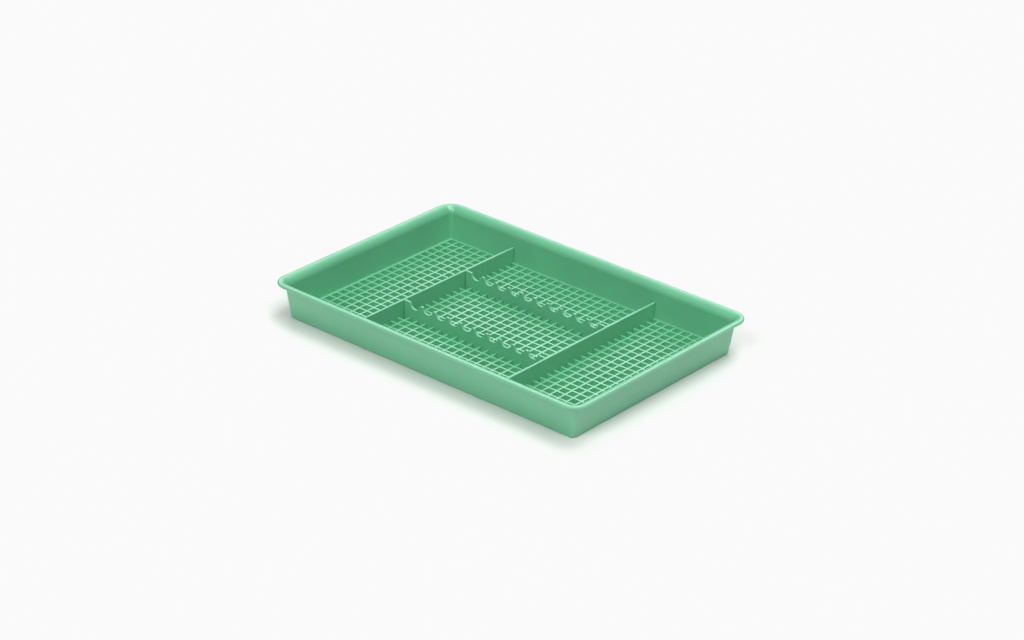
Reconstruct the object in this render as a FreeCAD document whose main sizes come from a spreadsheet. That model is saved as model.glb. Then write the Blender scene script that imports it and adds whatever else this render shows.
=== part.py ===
import FreeCAD, Part
import Sketcher
import math
import os
import sys

# A divided waffle-floor tray.  Millimetres, +Z up, long side along X.
# Origin: centre of the underside, on the surface the tray stands on.
# The rolled-rim pan holds five waffle mats, two full-width cross dividers and,
# between the dividers, two lengthwise rails with rows of round notches.

DRIVING_DIMENSIONS = [
    # alias, value, meaning
    ("tray_length", 243.5, "outside of the rim along X"),
    ("tray_width", 166.5, "outside of the rim along Y"),
    ("tray_height", 24.8, "table to crest of the rim"),
    ("rim_corner", 11.3, "plan radius of the rim's outer corners"),
    ("rim_thick", 1.8, "thickness of the rim flange"),
    ("roll_radius", 5.5, "radius of the roll from the inner wall onto the rim"),
    ("rim_round", 0.85, "rounding of the rim's outer top edge"),
    ("lip_round", 0.45, "rounding of the rim's outer bottom edge"),
    ("foot_inset", 8.3, "rim outside to wall outside, at table level"),
    ("foot_corner", 3.4, "plan radius of the wall's outer corners"),
    ("foot_round", 1.0, "rounding of the edge the tray stands on"),
    ("wall_thick", 1.1, "wall thickness, measured level"),
    ("wall_slope", 6.42, "lean of the walls out from upright, degrees"),
    ("inner_corner", 2.3, "plan radius of the wall's inner corners"),
    ("floor_thick", 0.9, "pan floor"),
    ("cell", 6.35, "waffle cell pitch, a quarter of an inch"),
    ("rib", 1.15, "waffle rib width"),
    ("mat_thick", 3.0, "height of the waffle mats"),
    ("divider_thick", 1.6, "cross dividers and notched rails"),
    ("divider_top", 14.0, "table to the dividers' top edges"),
    ("clearance", 0.25, "gap round each lift-out piece"),
    ("notch_radius", 3.9, "round notches in the rails"),
    ("notch_pitch", 10.5, "notch centre to notch centre"),
    ("land_round", 0.7, "rounding where a notch meets the rail's top"),
    ("overcut", 1.0, "how far a cut runs past each face it goes through"),
]
ALIASES = {alias for alias, _, _ in DRIVING_DIMENSIONS}

# Waffle lines are counted from the left end (columns) and the front (rows).
COLUMNS = 35
ROWS = 23
DIVIDER_COLUMNS = {"left": 8, "right": 26}
RAIL_ROWS = {"front": 7, "rear": 16}
NOTCHES = 10

MATS = {
    # name: first column line, last column line, first row line, last row line
    "left": (0, 8, 0, 23),
    "right": (26, 35, 0, 23),
    "front": (8, 26, 0, 7),
    "middle": (8, 26, 7, 16),
    "rear": (8, 26, 16, 23),
}

TOLERANCE = 0.01

doc = FreeCAD.newDocument("DividedTray")


def make_sheet():
    sheet = doc.addObject("Spreadsheet::Sheet", "dims")
    for row, (alias, value, meaning) in enumerate(DRIVING_DIMENSIONS, start=1):
        sheet.set(f"A{row}", meaning)
        sheet.set(f"B{row}", str(value))
        sheet.setAlias(f"B{row}", alias)
    doc.recompute()
    return sheet


dims = make_sheet()


def from_sheet(expression):
    """Point every alias in an expression at the sheet.  Words stand apart."""
    return " ".join(f"dims.{word}" if word in ALIASES else word for word in expression.split())


def origin_part(body, role):
    return next(f for f in body.Origin.OriginFeatures if f.Role == role)


def new_body(label):
    body = doc.addObject("PartDesign::Body", label)
    body.Label = label
    return body


def place(body, x="0", y="0", z="0"):
    for axis, expression in zip("xyz", (x, y, z)):
        body.setExpression(f"Placement.Base.{axis}", from_sheet(expression))


def new_sketch(body, name, plane, offset=("0", "0", "0")):
    sketch = body.newObject("Sketcher::SketchObject", name)
    sketch.AttachmentSupport = [(origin_part(body, plane), "")]
    sketch.MapMode = "FlatFace"
    for axis, expression in zip("xyz", offset):
        sketch.setExpression(f"AttachmentOffset.Base.{axis}", from_sheet(expression))
    return sketch


def add_four_sides(sketch, corners):
    """A closed four-sided outline from rough corners, which constraints then size."""
    points = [FreeCAD.Vector(x, y, 0) for x, y in corners]
    for i in range(4):
        sketch.addGeometry(Part.LineSegment(points[i], points[(i + 1) % 4]), False)
    for i in range(4):
        sketch.addConstraint(Sketcher.Constraint("Coincident", i, 2, (i + 1) % 4, 1))


def set_size(sketch, constraint, expression):
    index = sketch.addConstraint(constraint)
    sketch.setExpression(f"Constraints[{index}]", from_sheet(expression))


def add_rectangle(sketch, width, depth, centred=False):
    """A rectangle from the sketch's origin, or centred on it."""
    low, high = (-5, 5) if centred else (0, 10)
    add_four_sides(sketch, [(low, low), (high, low), (high, high), (low, high)])
    for i in range(4):
        sketch.addConstraint(Sketcher.Constraint("Vertical" if i % 2 else "Horizontal", i))
    if centred:
        sketch.addConstraint(Sketcher.Constraint("Symmetric", 0, 1, 2, 1, -1, 1))
    else:
        sketch.addConstraint(Sketcher.Constraint("Coincident", 0, 1, -1, 1))
    set_size(sketch, Sketcher.Constraint("DistanceX", 0, 1, 0, 2, 10), width)
    set_size(sketch, Sketcher.Constraint("DistanceY", 1, 1, 1, 2, 10), depth)


def pad(body, sketch, length, taper=None, midplane=False):
    feature = body.newObject("PartDesign::Pad", f"{sketch.Name}_pad")
    feature.Profile = sketch
    feature.setExpression("Length", from_sheet(length))
    feature.Midplane = midplane
    if taper:
        feature.setExpression("TaperAngle", from_sheet(taper))
    doc.recompute()
    return feature


def pocket(body, sketch, length, taper=None, reverse=False, midplane=False):
    before = body.Shape.Volume
    feature = body.newObject("PartDesign::Pocket", f"{sketch.Name}_pocket")
    feature.Profile = sketch
    feature.setExpression("Length", from_sheet(length))
    feature.Reversed = reverse
    feature.Midplane = midplane
    if taper:
        feature.setExpression("TaperAngle", from_sheet(taper))
    doc.recompute()
    if feature.Shape.Volume > before - TOLERANCE:
        sys.exit(f"{feature.Label} cuts nothing")
    return feature


def repeat(body, name, axis, count, pitch):
    """A row of the body's last cut along one of its axes, still without its Originals."""
    row = doc.addObject("PartDesign::LinearPattern", name)
    body.addObject(row)
    row.Direction = (origin_part(body, f"{axis}_Axis"), [""])
    row.setExpression("Length", from_sheet(f"{count - 1} * {pitch}"))
    row.Occurrences = count
    return row


def fillet(body, name, radius, is_wanted):
    """Round the edges of the body's last feature that the test picks."""
    base = body.Tip
    names = [f"Edge{i}" for i, edge in enumerate(base.Shape.Edges, 1) if is_wanted(edge)]
    if not names:
        sys.exit(f"{name}: no edge to round")
    feature = body.newObject("PartDesign::Fillet", name)
    feature.Base = (base, names)
    feature.setExpression("Radius", from_sheet(radius))
    doc.recompute()
    if feature.Shape.isNull():
        sys.exit(f"{name} failed: {feature.State}")
    return feature


def heights(edge):
    return [vertex.Z for vertex in edge.Vertexes]


def is_level(edge, height):
    return all(abs(z - height) < TOLERANCE for z in heights(edge))


def is_upright(edge):
    z = heights(edge)
    return len(z) == 2 and abs(z[0] - z[1]) > 0.5 * edge.Length


def inset(edge):
    """How far an edge's middle lies inside the rim's rounded outline, in plan."""
    middle = edge.valueAt((edge.FirstParameter + edge.LastParameter) / 2)
    x = abs(middle.x) - (dims.tray_length / 2 - dims.rim_corner)
    y = abs(middle.y) - (dims.tray_width / 2 - dims.rim_corner)
    return dims.rim_corner - math.hypot(max(x, 0), max(y, 0)) - min(max(x, y), 0)


def is_on_outline(edge):
    return inset(edge) < 0.1


def make_tray_pan():
    """The one-piece pan: leaning walls, a rolled rim and a flat floor."""
    body = new_body("tray_pan")
    place(body)
    under_rim = dims.tray_height - dims.rim_thick

    foot = new_sketch(body, "foot", "XY_Plane")
    add_rectangle(foot, "tray_length - 2 * foot_inset", "tray_width - 2 * foot_inset", True)
    pad(body, foot, "tray_height - rim_thick", "wall_slope")
    fillet(body, "wall_corners", "foot_corner", is_upright)

    plate = new_sketch(body, "rim", "XY_Plane", ("0", "0", "tray_height - rim_thick"))
    add_rectangle(plate, "tray_length", "tray_width", True)
    pad(body, plate, "rim_thick")
    fillet(body, "rim_corners", "rim_corner",
           lambda e: is_upright(e) and min(heights(e)) > under_rim - TOLERANCE)
    fillet(body, "roll_underside", "roll_radius - rim_thick",
           lambda e: is_level(e, under_rim) and not is_on_outline(e))

    inside = new_sketch(body, "inside", "XY_Plane", ("0", "0", "floor_thick"))
    add_rectangle(inside,
                  "tray_length - 2 * ( foot_inset + wall_thick )",
                  "tray_width - 2 * ( foot_inset + wall_thick )", True)
    pocket(body, inside, "tray_height", "wall_slope", reverse=True)
    fillet(body, "inner_corners", "inner_corner",
           lambda e: is_upright(e) and abs(min(heights(e)) - dims.floor_thick) < TOLERANCE)
    fillet(body, "roll", "roll_radius",
           lambda e: is_level(e, dims.tray_height) and not is_on_outline(e))
    fillet(body, "rim_top_edge", "rim_round",
           lambda e: is_level(e, dims.tray_height) and is_on_outline(e))
    fillet(body, "rim_bottom_edge", "lip_round",
           lambda e: is_level(e, under_rim) and is_on_outline(e))
    fillet(body, "foot_edge", "foot_round", lambda e: is_level(e, 0))
    return body


def column_line(index):
    return f"{index - COLUMNS / 2} * cell"


def row_line(index):
    return f"{index - ROWS / 2} * cell"


def mat_edge(index, count, half_inside, line, side):
    """Where a mat ends: just short of the pan's wall, or of a divider's face."""
    if index in (0, count):
        return f"{side} * ( {half_inside} - foot_inset - wall_thick - clearance )"
    return f"{line(index)} - {side} * ( divider_thick / 2 + clearance )"


def make_mat(name, first_column, last_column, first_row, last_row):
    """One lattice mat: a plate with a square hole in every cell.

    Cells against a divider stay open on that side, so the ribs end there as stubs.
    """
    left = mat_edge(first_column, COLUMNS, "tray_length / 2", column_line, -1)
    right = mat_edge(last_column, COLUMNS, "tray_length / 2", column_line, 1)
    front = mat_edge(first_row, ROWS, "tray_width / 2", row_line, -1)
    rear = mat_edge(last_row, ROWS, "tray_width / 2", row_line, 1)
    body = new_body(f"waffle_mat_{name}")
    place(body, z="floor_thick")

    outline = new_sketch(body, f"outline_{name}", "XY_Plane", (left, front, "0"))
    add_rectangle(outline, f"( {right} ) - ( {left} )", f"( {rear} ) - ( {front} )")
    pad(body, outline, "mat_thick")
    wall = dims.foot_inset + dims.wall_thick + dims.clearance
    far_x = dims.tray_length / 2 - wall
    far_y = dims.tray_width / 2 - wall
    if first_column == 0 or last_column == COLUMNS:
        fillet(body, f"corners_{name}", "inner_corner",
               lambda e: is_upright(e) and abs(abs(e.Vertexes[0].X) - far_x) < TOLERANCE
               and abs(abs(e.Vertexes[0].Y) - far_y) < TOLERANCE)

    start = (f"{column_line(first_column)} + rib / 2", f"{row_line(first_row)} + rib / 2", "0")
    hole = new_sketch(body, f"cell_{name}", "XY_Plane", start)
    add_rectangle(hole, "cell - rib", "cell - rib")
    first_cell = pocket(body, hole, "2 * ( mat_thick + overcut )", midplane=True)

    cells = body.newObject("PartDesign::MultiTransform", f"cells_{name}")
    cells.Originals = [first_cell]
    cells.Transformations = [
        repeat(body, f"columns_{name}", "X", last_column - first_column, "cell"),
        repeat(body, f"rows_{name}", "Y", last_row - first_row, "cell"),
    ]
    body.Tip = cells
    doc.recompute()
    return body


def make_cross_divider(name):
    """An upright strip across the tray, its ends leaning with the pan's walls."""
    body = new_body(f"cross_divider_{name}")
    place(body, x=column_line(DIVIDER_COLUMNS[name]))
    sketch = new_sketch(body, f"divider_{name}", "YZ_Plane")
    add_four_sides(sketch, [(-30, 1), (30, 1), (31, 13), (-31, 13)])
    sketch.addConstraint(Sketcher.Constraint("Symmetric", 0, 1, 0, 2, -2))
    sketch.addConstraint(Sketcher.Constraint("Symmetric", 2, 1, 2, 2, -2))
    foot = "tray_width - 2 * ( foot_inset + wall_thick + clearance )"
    lean = "2 * ( divider_top - floor_thick ) * tan( wall_slope * 1deg )"
    set_size(sketch, Sketcher.Constraint("DistanceX", 0, 1, 0, 2, 60), foot)
    set_size(sketch, Sketcher.Constraint("DistanceX", 2, 2, 2, 1, 62), f"{foot} + {lean}")
    set_size(sketch, Sketcher.Constraint("DistanceY", -1, 1, 0, 1, 1), "floor_thick")
    set_size(sketch, Sketcher.Constraint("DistanceY", -1, 1, 2, 1, 13), "divider_top")
    pad(body, sketch, "divider_thick", midplane=True)
    return body


def make_notched_rail(name):
    """An upright strip between the cross dividers, with a row of round notches."""
    middle = (DIVIDER_COLUMNS["left"] + DIVIDER_COLUMNS["right"]) / 2
    span = DIVIDER_COLUMNS["right"] - DIVIDER_COLUMNS["left"]
    length = f"{span} * cell - divider_thick - 2 * clearance"
    body = new_body(f"notched_rail_{name}")
    place(body, x=column_line(middle), y=row_line(RAIL_ROWS[name]))
    strip = new_sketch(body, f"strip_{name}", "XZ_Plane",
                       (f"-0.5 * ( {length} )", "floor_thick", "0"))
    add_rectangle(strip, length, "divider_top - floor_thick")
    pad(body, strip, "divider_thick", midplane=True)

    notch = new_sketch(body, f"notch_{name}", "XZ_Plane",
                       (f"-0.5 * {NOTCHES - 1} * notch_pitch", "divider_top", "0"))
    notch.addGeometry(Part.Circle(FreeCAD.Vector(), FreeCAD.Vector(0, 0, 1), 3), False)
    notch.addConstraint(Sketcher.Constraint("Coincident", 0, 3, -1, 1))
    set_size(notch, Sketcher.Constraint("Radius", 0, 3), "notch_radius")
    first_notch = pocket(body, notch, "divider_thick + 2 * overcut", midplane=True)

    row = repeat(body, f"notches_{name}", "X", NOTCHES, "notch_pitch")
    row.Originals = [first_notch]
    body.Tip = row
    doc.recompute()
    half_length = (span * dims.cell - dims.divider_thick) / 2 - dims.clearance
    fillet(body, f"lands_{name}", "land_round",
           lambda e: is_level(e, dims.divider_top)
           and abs(e.Length - dims.divider_thick) < TOLERANCE
           and abs(e.Vertexes[0].X) < half_length - TOLERANCE)
    return body


def check_and_export(bodies):
    for obj in doc.Objects:
        if "Invalid" in obj.State or "Error" in obj.State:
            sys.exit(f"{obj.Label} failed: {obj.State}")
    for body in bodies:
        shape = body.Shape
        if shape.isNull() or not shape.isValid() or len(shape.Solids) != 1:
            sys.exit(f"{body.Label} is not one valid solid")
        print(f"{body.Label}: {shape.Volume / 1000:.2f} cm3, {len(shape.Faces)} faces")
    os.makedirs("parts", exist_ok=True)
    for body in bodies:
        body.Shape.exportStep(f"parts/{body.Label}.step")


bodies = [make_tray_pan()]
bodies += [make_mat(name, *lines) for name, lines in MATS.items()]
bodies += [make_cross_divider(name) for name in DIVIDER_COLUMNS]
bodies += [make_notched_rail(name) for name in RAIL_ROWS]
doc.recompute()
check_and_export(bodies)
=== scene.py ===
import math

import bpy
from mathutils import Matrix, Vector


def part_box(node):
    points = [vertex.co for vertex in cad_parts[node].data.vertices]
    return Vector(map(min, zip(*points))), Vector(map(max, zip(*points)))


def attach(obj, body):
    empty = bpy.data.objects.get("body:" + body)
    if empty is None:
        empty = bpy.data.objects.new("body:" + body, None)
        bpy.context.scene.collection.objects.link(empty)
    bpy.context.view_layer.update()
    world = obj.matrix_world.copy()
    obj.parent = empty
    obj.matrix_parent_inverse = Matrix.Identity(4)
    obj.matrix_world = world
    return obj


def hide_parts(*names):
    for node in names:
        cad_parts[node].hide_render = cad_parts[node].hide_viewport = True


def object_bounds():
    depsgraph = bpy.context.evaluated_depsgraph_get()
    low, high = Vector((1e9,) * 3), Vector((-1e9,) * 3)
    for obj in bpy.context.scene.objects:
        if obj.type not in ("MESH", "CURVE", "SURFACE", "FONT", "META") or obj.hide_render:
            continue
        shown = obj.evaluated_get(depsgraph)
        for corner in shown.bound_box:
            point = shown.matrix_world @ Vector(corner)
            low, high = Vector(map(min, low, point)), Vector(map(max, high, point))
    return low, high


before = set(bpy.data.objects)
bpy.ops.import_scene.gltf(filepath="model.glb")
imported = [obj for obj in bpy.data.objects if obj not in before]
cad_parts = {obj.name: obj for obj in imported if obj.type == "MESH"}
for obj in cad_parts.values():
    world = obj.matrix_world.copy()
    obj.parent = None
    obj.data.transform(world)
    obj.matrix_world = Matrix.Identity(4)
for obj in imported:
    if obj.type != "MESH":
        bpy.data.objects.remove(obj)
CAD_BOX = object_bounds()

# Metres, in the CAD model's own frame: +X along the tray, +Y across it, +Z up.
MM = 0.001
LOW, HIGH = CAD_BOX
HALF_LENGTH = (HIGH.x - LOW.x) / 2
HALF_WIDTH = (HIGH.y - LOW.y) / 2
CREST = HIGH.z

# The pan's section, as the CAD model has it.
RIM_CORNER = 11.3 * MM
RIM_THICK = 1.8 * MM
ROLL_RADIUS = 5.5 * MM
RIM_ROUND = 0.85 * MM
LIP_ROUND = 0.45 * MM
FOOT_INSET = 8.3 * MM
FOOT_CORNER = 3.4 * MM
FOOT_ROUND = 1.0 * MM
WALL_THICK = 1.1 * MM
WALL_SLOPE = math.radians(6.42)
INNER_CORNER = 2.3 * MM
FLOOR_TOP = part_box("waffle_mat_left")[0].z
FOOT_BAND = 6.0 * MM
UNDERSIDE_LIFT = 0.35 * MM
UNDERSIDE_STEP = 0.4 * MM
UNDERSIDE_CORNER = 1.5 * MM

# The waffle floor.  The rib tops are a little wider than the CAD's 1.15 mm ribs, for the
# look.  Ribs reach past the mat's box to meet the strip beside it.
CELL = 6.35 * MM
COLUMNS = 35
ROWS = 23
RIB_TOP = 1.25 * MM
RIB_FOOT = 1.3 * MM
WAFFLE_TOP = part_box("waffle_mat_left")[1].z
RIB_ROUND = 0.09 * MM
RIB_REACH = 0.13 * MM
EDGE_GAP = 0.12 * MM

# The upright strips.
NOTCHES = 10
NOTCH_RADIUS = 3.9 * MM
NOTCH_PITCH = 10.5 * MM
LAND_ROUND = 0.7 * MM
STRIP_ROUND = 0.38 * MM
DIVIDER_REACH = 0.08 * MM
RAIL_REACH = 0.13 * MM


# ---------------------------------------------------------------- materials

def node(tree, kind, **inputs):
    """Add a shader node, with values or links for its named inputs."""
    made = tree.nodes.new(kind)
    for name, value in inputs.items():
        socket = made.inputs[name.replace("_", " ")]
        if isinstance(value, bpy.types.NodeSocket):
            tree.links.new(value, socket)
        else:
            socket.default_value = value
    return made


def moulded_plastic(name, colour, grain_seed):
    """Satin green polypropylene: cloudy colour, fine moulded grain, faint rubs."""
    material = bpy.data.materials.new(name)
    material.use_nodes = True
    tree = material.node_tree
    shader = tree.nodes["Principled BSDF"]
    place = node(tree, "ShaderNodeTexCoord").outputs["Object"]

    cloud = node(tree, "ShaderNodeTexNoise", Vector=place, Scale=28.0, Detail=3.0, Roughness=0.55)
    cloud.noise_dimensions = "4D"
    cloud.inputs["W"].default_value = grain_seed
    tint = node(tree, "ShaderNodeValToRGB", Fac=cloud.outputs["Fac"])
    tint.color_ramp.elements[0].position = 0.32
    tint.color_ramp.elements[0].color = [c * 0.955 for c in colour] + [1]
    tint.color_ramp.elements[1].position = 0.68
    tint.color_ramp.elements[1].color = [min(1, c * 1.045) for c in colour] + [1]
    tree.links.new(tint.outputs["Color"], shader.inputs["Base Color"])

    rub = node(tree, "ShaderNodeTexNoise", Vector=place, Scale=420.0, Detail=4.0, Roughness=0.7)
    sheen = node(tree, "ShaderNodeMapRange", Value=rub.outputs["Fac"])
    sheen.inputs["From Min"].default_value = 0.3
    sheen.inputs["From Max"].default_value = 0.7
    sheen.inputs["To Min"].default_value = 0.30
    sheen.inputs["To Max"].default_value = 0.42
    tree.links.new(sheen.outputs["Result"], shader.inputs["Roughness"])

    grain = node(tree, "ShaderNodeTexNoise", Vector=place, Scale=3200.0, Detail=2.0)
    sink = node(tree, "ShaderNodeTexNoise", Vector=place, Scale=60.0, Detail=1.0)
    swell = node(tree, "ShaderNodeBump", Height=sink.outputs["Fac"], Strength=0.10, Distance=0.0006)
    fine = node(tree, "ShaderNodeBump", Height=grain.outputs["Fac"], Strength=0.12,
                Distance=0.00005, Normal=swell.outputs["Normal"])
    tree.links.new(fine.outputs["Normal"], shader.inputs["Normal"])
    shader.inputs["IOR"].default_value = 1.57
    shader.inputs["Specular IOR Level"].default_value = 0.9
    return material


def white_floor(name):
    material = bpy.data.materials.new(name)
    material.use_nodes = True
    tree = material.node_tree
    shader = tree.nodes["Principled BSDF"]
    place = node(tree, "ShaderNodeTexCoord").outputs["Object"]
    cloud = node(tree, "ShaderNodeTexNoise", Vector=place, Scale=3.0)
    tint = node(tree, "ShaderNodeValToRGB", Fac=cloud.outputs["Fac"])
    tint.color_ramp.elements[0].color = (0.820, 0.820, 0.810, 1)
    tint.color_ramp.elements[1].color = (0.830, 0.830, 0.820, 1)
    tree.links.new(tint.outputs["Color"], shader.inputs["Base Color"])
    shader.inputs["Roughness"].default_value = 0.9
    shader.inputs["Specular IOR Level"].default_value = 0.1
    return material


# ------------------------------------------------------------------- meshes

def finish_mesh(name, points, faces, material, body, stands_for):
    """Make the mesh object, smooth it by angle and fasten it to its CAD body."""
    mesh = bpy.data.meshes.new(name)
    mesh.from_pydata(points, [], faces)
    mesh.validate()
    mesh.shade_smooth()
    mesh.set_sharp_from_angle(angle=math.radians(38))
    mesh.materials.append(material)
    piece = bpy.data.objects.new(name, mesh)
    bpy.context.scene.collection.objects.link(piece)
    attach(piece, body)
    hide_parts(stands_for)
    return piece


def keep_used(points, faces):
    """Drop the points that no face uses, and renumber the faces to match."""
    used = sorted({k for face in faces for k in face})
    renumber = {old: new for new, old in enumerate(used)}
    points = [points[k] for k in used]
    faces = [tuple(renumber[k] for k in face) for face in faces]
    return points, faces


def round_edges(piece, width, segments):
    """Round every sharp edge, as a mould leaves them."""
    bevel = piece.modifiers.new("rounded_edges", "BEVEL")
    bevel.width = width
    bevel.segments = segments
    bevel.limit_method = "ANGLE"
    bevel.angle_limit = math.radians(40)
    bevel.use_clamp_overlap = True
    normals = piece.modifiers.new("even_shading", "WEIGHTED_NORMAL")
    normals.keep_sharp = True


def rounded_ring(half_x, half_y, radius, z):
    """A level rounded rectangle with the same point count for any size."""
    corner_steps, long_steps, short_steps = 18, 30, 20
    ring = []
    corners = [(1, 1), (-1, 1), (-1, -1), (1, -1)]
    for k, (sx, sy) in enumerate(corners):
        cx, cy = sx * (half_x - radius), sy * (half_y - radius)
        for step in range(corner_steps + 1):
            angle = math.radians(90 * k + 90 * step / corner_steps)
            ring.append((cx + radius * math.cos(angle), cy + radius * math.sin(angle), z))
        nx, ny = corners[(k + 1) % 4]
        nx, ny = nx * (half_x - radius), ny * (half_y - radius)
        steps = long_steps if k % 2 == 0 else short_steps
        last = ring[-1]
        along_x = (nx - cx) if k % 2 == 0 else 0
        along_y = 0 if k % 2 == 0 else (ny - cy)
        for step in range(1, steps):
            ring.append((last[0] + along_x * step / steps, last[1] + along_y * step / steps, z))
    return ring


def pan_section():
    """The pan's section as (inset from the rim outline, height, corner radius)."""
    lean = math.tan(WALL_SLOPE)
    level = CREST - ROLL_RADIUS
    under = ROLL_RADIUS - RIM_THICK
    section = []

    def arc(inset, z, radius, start, stop, steps, corner):
        for step in range(steps + 1):
            angle = math.radians(start + (stop - start) * step / steps)
            out = radius * math.cos(angle)
            section.append((inset - out, z + radius * math.sin(angle), corner(out)))

    wall_foot = FOOT_INSET + FOOT_BAND
    section.append((wall_foot + UNDERSIDE_STEP, UNDERSIDE_LIFT, UNDERSIDE_CORNER))
    section.append((wall_foot, 0.0, UNDERSIDE_CORNER))
    section.append((FOOT_INSET + FOOT_ROUND + 0.2 * MM, 0.0, FOOT_CORNER - FOOT_ROUND))
    arc(FOOT_INSET + FOOT_ROUND, FOOT_ROUND, FOOT_ROUND, -90, 0, 6,
        lambda out: FOOT_CORNER - FOOT_ROUND + out)
    for share in (0.3, 0.6):
        z = FOOT_ROUND + (level - FOOT_ROUND) * share
        section.append((FOOT_INSET - lean * z, z, FOOT_CORNER))

    degrees = math.degrees(WALL_SLOPE)
    outer_centre = FOOT_INSET - lean * level - under / math.cos(WALL_SLOPE)
    arc(outer_centre, level, under, 180 - degrees, 90, 10, lambda out: FOOT_CORNER + under + out)
    arc(LIP_ROUND, CREST - RIM_THICK + LIP_ROUND, LIP_ROUND, -90, 0, 4,
        lambda out: RIM_CORNER - LIP_ROUND + out)
    arc(RIM_ROUND, CREST - RIM_ROUND, RIM_ROUND, 0, 90, 6,
        lambda out: RIM_CORNER - RIM_ROUND + out)

    inner_foot = FOOT_INSET + WALL_THICK
    inner_centre = inner_foot - lean * (level - FLOOR_TOP) - ROLL_RADIUS / math.cos(WALL_SLOPE)
    arc(inner_centre, level, ROLL_RADIUS, 90, 180 - degrees, 14,
        lambda out: INNER_CORNER + ROLL_RADIUS + out)
    for share in (0.55, 0.2):
        z = FLOOR_TOP + (level - FLOOR_TOP) * share
        section.append((inner_foot - lean * (z - FLOOR_TOP), z, INNER_CORNER))
    section.append((inner_foot, FLOOR_TOP, INNER_CORNER))
    return section


def make_pan(material):
    rings = [rounded_ring(HALF_LENGTH - inset, HALF_WIDTH - inset, corner, z)
             for inset, z, corner in pan_section()]
    count = len(rings[0])
    points = [point for ring in rings for point in ring]
    faces = []
    for level in range(len(rings) - 1):
        for k in range(count):
            after = (k + 1) % count
            a, b = level * count, (level + 1) * count
            faces.append((a + k, a + after, b + after, b + k))
    faces.append(tuple(reversed(range(count))))
    top = (len(rings) - 1) * count
    faces.append(tuple(range(top, top + count)))
    pan = finish_mesh("pan_shell", points, faces, material, "pan", "tray_pan")
    normals = pan.modifiers.new("even_shading", "WEIGHTED_NORMAL")
    normals.keep_sharp = True
    return pan


def mat_stations(low, high, half, lines, is_wall_low, is_wall_high):
    """Where a mat's ribs begin and end along one axis, at foot and at top.

    Returns (foot position, top position) pairs and which gaps between them are rib.
    """
    stations, is_rib = [], []
    lean = math.tan(WALL_SLOPE) * (WAFFLE_TOP - FLOOR_TOP)
    wall = half - FOOT_INSET - WALL_THICK - EDGE_GAP
    if is_wall_low:
        stations.append((-wall, -wall - lean))
        is_rib.append(True)
    else:
        stations.append((low, low))
        is_rib.append(False)
    for line in lines:
        foot, top = RIB_FOOT / 2, RIB_TOP / 2
        on_wall_low = is_wall_low and line == lines[0]
        on_wall_high = is_wall_high and line == lines[-1]
        if not on_wall_low:
            stations.append((line - foot, line - top))
            is_rib.append(True)
        if not on_wall_high:
            stations.append((line + foot, line + top))
            is_rib.append(False)
    if is_wall_high:
        stations.append((wall, wall + lean))
    else:
        stations.append((high, high))
    return stations, is_rib


def make_mat(name, material, columns, rows):
    """One lattice mat from its first and last column and row lines."""
    node_name = f"waffle_mat_{name}"
    low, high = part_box(node_name)
    spans = []
    for (first, last), total, a, b, half in (
            (columns, COLUMNS, low.x, high.x, HALF_LENGTH),
            (rows, ROWS, low.y, high.y, HALF_WIDTH)):
        wall_low, wall_high = first == 0, last == total
        inner = range(first if wall_low else first + 1, (last if wall_high else last - 1) + 1)
        lines = [(i - total / 2) * CELL for i in inner]
        spans.append(mat_stations(a - RIB_REACH, b + RIB_REACH, half, lines, wall_low, wall_high))
    (xs, rib_x), (ys, rib_y) = spans
    points = []
    for level, z in ((0, low.z), (1, high.z)):
        for y in ys:
            for x in xs:
                points.append((x[level], y[level], z))
    across, layer = len(xs), len(xs) * len(ys)

    def index(i, j, level):
        return level * layer + j * across + i

    def solid(i, j):
        inside = 0 <= i < len(rib_x) and 0 <= j < len(rib_y)
        return inside and (rib_x[i] or rib_y[j])

    faces = []
    for j in range(len(rib_y)):
        for i in range(len(rib_x)):
            if not solid(i, j):
                continue
            corners = ((i, j), (i + 1, j), (i + 1, j + 1), (i, j + 1))
            faces.append(tuple(index(a, b, 1) for a, b in corners))
            faces.append(tuple(index(a, b, 0) for a, b in reversed(corners)))
            sides = ((0, 1, i, j - 1), (1, 2, i + 1, j), (2, 3, i, j + 1), (3, 0, i - 1, j))
            for p, q, ni, nj in sides:
                if not solid(ni, nj):
                    (a, b), (c, d) = corners[p], corners[q]
                    low_edge = (index(a, b, 0), index(c, d, 0))
                    high_edge = (index(c, d, 1), index(a, b, 1))
                    faces.append(low_edge + high_edge)
    points, faces = keep_used(points, faces)
    piece = finish_mesh(f"{name}_waffle", points, faces, material, node_name, node_name)
    round_edges(piece, RIB_ROUND, 2)
    return piece


def strip_between(name, top_line, foot_line, half_thick, axis, material, node_name):
    """An upright strip from matching lines of (along, height) points."""
    points, faces = [], []
    count = len(top_line)
    for side in (-1, 1):
        for line in (foot_line, top_line):
            for along, z, at in line:
                if axis == "x":
                    points.append((along, at + side * half_thick, z))
                else:
                    points.append((at + side * half_thick, along, z))
    foot_a, top_a, foot_b, top_b = (k * count for k in range(4))
    last = count - 1
    faces.append((foot_a, foot_a + last, *range(top_a + last, top_a - 1, -1)))
    faces.append((foot_b + last, foot_b, *range(top_b, top_b + count)))
    faces.append((foot_a + last, foot_a, foot_b, foot_b + last))
    for k in range(last):
        faces.append((top_a + k, top_a + k + 1, top_b + k + 1, top_b + k))
    faces.append((foot_a, top_a, top_b, foot_b))
    faces.append((foot_a + last, foot_b + last, top_b + last, top_a + last))
    points, faces = keep_used(points, faces)
    if axis == "y":
        faces = [tuple(reversed(face)) for face in faces]
    piece = finish_mesh(name, points, faces, material, node_name, node_name)
    round_edges(piece, STRIP_ROUND, 3)
    return piece


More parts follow.
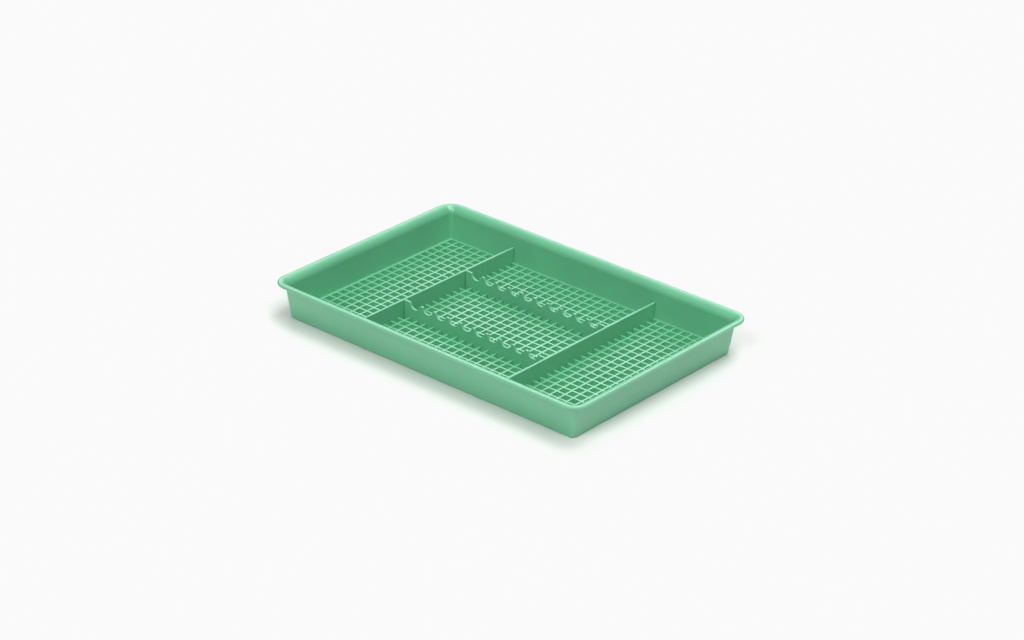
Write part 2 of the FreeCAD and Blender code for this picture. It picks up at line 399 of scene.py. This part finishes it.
def make_divider(name, material):
    node_name = f"cross_divider_{name}"
    low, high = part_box(node_name)
    at = (low.x + high.x) / 2
    half_thick = (high.x - low.x) / 2
    lean = math.tan(WALL_SLOPE)
    top_half = high.y + DIVIDER_REACH
    foot_half = top_half - lean * (high.z - low.z)
    steps = 24
    shares = [2 * k / steps - 1 for k in range(steps + 1)]
    top_line = [(share * top_half, high.z, at) for share in shares]
    foot_line = [(share * foot_half, low.z, at) for share in shares]
    return strip_between(f"{name}_divider", top_line, foot_line, half_thick, "y", material, node_name)


def rail_top(half_length, height):
    """The rail's top line: flat lands between round notches, corners eased."""
    line = [(-half_length, height)]
    for k in range(NOTCHES):
        centre = (k - (NOTCHES - 1) / 2) * NOTCH_PITCH
        ease_steps, arc_steps = 4, 20
        # The easing circle touches the top and the notch's circle from outside.
        drop = math.asin(LAND_ROUND / (NOTCH_RADIUS + LAND_ROUND))
        ease_x = (NOTCH_RADIUS + LAND_ROUND) * math.cos(drop)
        for step in range(ease_steps + 1):
            angle = math.radians(90) - (math.radians(90) + drop) * step / ease_steps
            x = centre - ease_x + LAND_ROUND * math.cos(angle)
            line.append((x, height - LAND_ROUND + LAND_ROUND * math.sin(angle)))
        for step in range(1, arc_steps):
            angle = math.pi + drop + (math.pi - 2 * drop) * step / arc_steps
            x = centre + NOTCH_RADIUS * math.cos(angle)
            line.append((x, height + NOTCH_RADIUS * math.sin(angle)))
        for step in range(ease_steps + 1):
            angle = math.pi + drop - (math.radians(90) + drop) * step / ease_steps
            x = centre + ease_x + LAND_ROUND * math.cos(angle)
            line.append((x, height - LAND_ROUND + LAND_ROUND * math.sin(angle)))
    line.append((half_length, height))
    return line


def make_rail(name, material):
    node_name = f"notched_rail_{name}"
    low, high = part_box(node_name)
    at = (low.y + high.y) / 2
    half_thick = (high.y - low.y) / 2
    middle = (low.x + high.x) / 2
    half_length = (high.x - low.x) / 2 + RAIL_REACH
    line = rail_top(half_length, high.z)
    top_line = [(middle + x, z, at) for x, z in line]
    foot_line = [(middle + x, low.z, at) for x, z in line]
    return strip_between(f"{name}_rail", top_line, foot_line, half_thick, "x", material, node_name)


# ------------------------------------------------------------------- staging

def make_floor():
    side = 6.0
    mesh = bpy.data.meshes.new("floor")
    corners = [(-side, -side, 0), (side, -side, 0), (side, side, 0), (-side, side, 0)]
    mesh.from_pydata(corners, [], [(0, 1, 2, 3)])
    mesh.materials.append(white_floor("floor_white"))
    floor = bpy.data.objects.new("floor", mesh)
    bpy.context.scene.collection.objects.link(floor)


# name: azimuth from +X towards +Y, elevation and width in degrees, and strength.
SOFTBOXES = {
    "key_rear": (75, 76, 26, 1.00),
    "key_right": (340, 62, 40, 1.60),
    "front": (272, 40, 34, 1.15),
    "rear_left": (130, 62, 44, 0.50),
    "backdrop": (125, 28, 28, 0.48),
}
SURROUND = 0.05


def make_light():
    """Soft lamps round the table, a bright backdrop behind, and a faint surround."""
    scene = bpy.context.scene
    world = bpy.data.worlds.new("studio")
    world.use_nodes = True
    background = world.node_tree.nodes["Background"]
    background.inputs["Color"].default_value = (1.0, 1.0, 1.0, 1)
    background.inputs["Strength"].default_value = SURROUND
    scene.world = world
    for name, (azimuth, elevation, width, strength) in SOFTBOXES.items():
        lamp = bpy.data.lights.new(name, "SUN")
        lamp.energy = strength
        lamp.angle = math.radians(width)
        towards = Vector((math.cos(math.radians(azimuth)) * math.cos(math.radians(elevation)),
                          math.sin(math.radians(azimuth)) * math.cos(math.radians(elevation)),
                          math.sin(math.radians(elevation))))
        box = bpy.data.objects.new(name, lamp)
        box.rotation_euler = towards.to_track_quat("Z", "Y").to_euler()
        scene.collection.objects.link(box)


# The white point of the finished picture, as a scene-linear value.
PAPER_WHITE = 0.956


def set_view():
    """Plain sRGB, with everything brighter than paper white held at it."""
    view = bpy.context.scene.view_settings
    view.view_transform = "Standard"
    view.use_curve_mapping = True
    mapping = view.curve_mapping
    mapping.extend = "HORIZONTAL"
    curve = mapping.curves[3]
    curve.points[0].location = (0, 0)
    curve.points[1].location = (1, PAPER_WHITE)
    curve.points.new(PAPER_WHITE, PAPER_WHITE)
    for point in curve.points:
        point.handle_type = "VECTOR"
    mapping.update()


def make_camera():
    """The camera looks down across the tray's right front corner, rolled by a hair."""
    turn, tilt, roll = math.radians(39.722), math.radians(26.591), math.radians(1.812)
    distance = 1.8935
    target = Vector((-0.01062, 0.01609, 0.0006))
    ahead = Vector((-math.sin(turn) * math.cos(tilt), math.cos(turn) * math.cos(tilt), -math.sin(tilt)))
    level = Vector((math.cos(turn), math.sin(turn), 0))
    upright = level.cross(ahead)
    right = level * math.cos(roll) + upright * math.sin(roll)
    up = upright * math.cos(roll) - level * math.sin(roll)
    data = bpy.data.cameras.new("camera")
    data.sensor_fit = "HORIZONTAL"
    data.sensor_width = 36.0
    data.lens = 107.9
    data.clip_end = 20
    camera = bpy.data.objects.new("camera", data)
    axes = Matrix((right, up, -ahead)).transposed()
    camera.matrix_world = Matrix.Translation(target - ahead * distance) @ axes.to_4x4()
    bpy.context.scene.collection.objects.link(camera)
    bpy.context.scene.camera = camera


make_camera()
set_view()
make_light()
make_floor()

GREEN = (0.150, 0.518, 0.298)
pan_plastic = moulded_plastic("pan_plastic", GREEN, 0.0)
mat_plastic = moulded_plastic("mat_plastic", GREEN, 3.0)
divider_plastic = moulded_plastic("divider_plastic", GREEN, 7.0)
make_pan(pan_plastic)
make_mat("left", mat_plastic, (0, 8), (0, 23))
make_mat("right", mat_plastic, (26, 35), (0, 23))
make_mat("front", mat_plastic, (8, 26), (0, 7))
make_mat("middle", mat_plastic, (8, 26), (7, 16))
make_mat("rear", mat_plastic, (8, 26), (16, 23))
for side in ("left", "right"):
    make_divider(side, divider_plastic)
for side in ("front", "rear"):
    make_rail(side, divider_plastic)
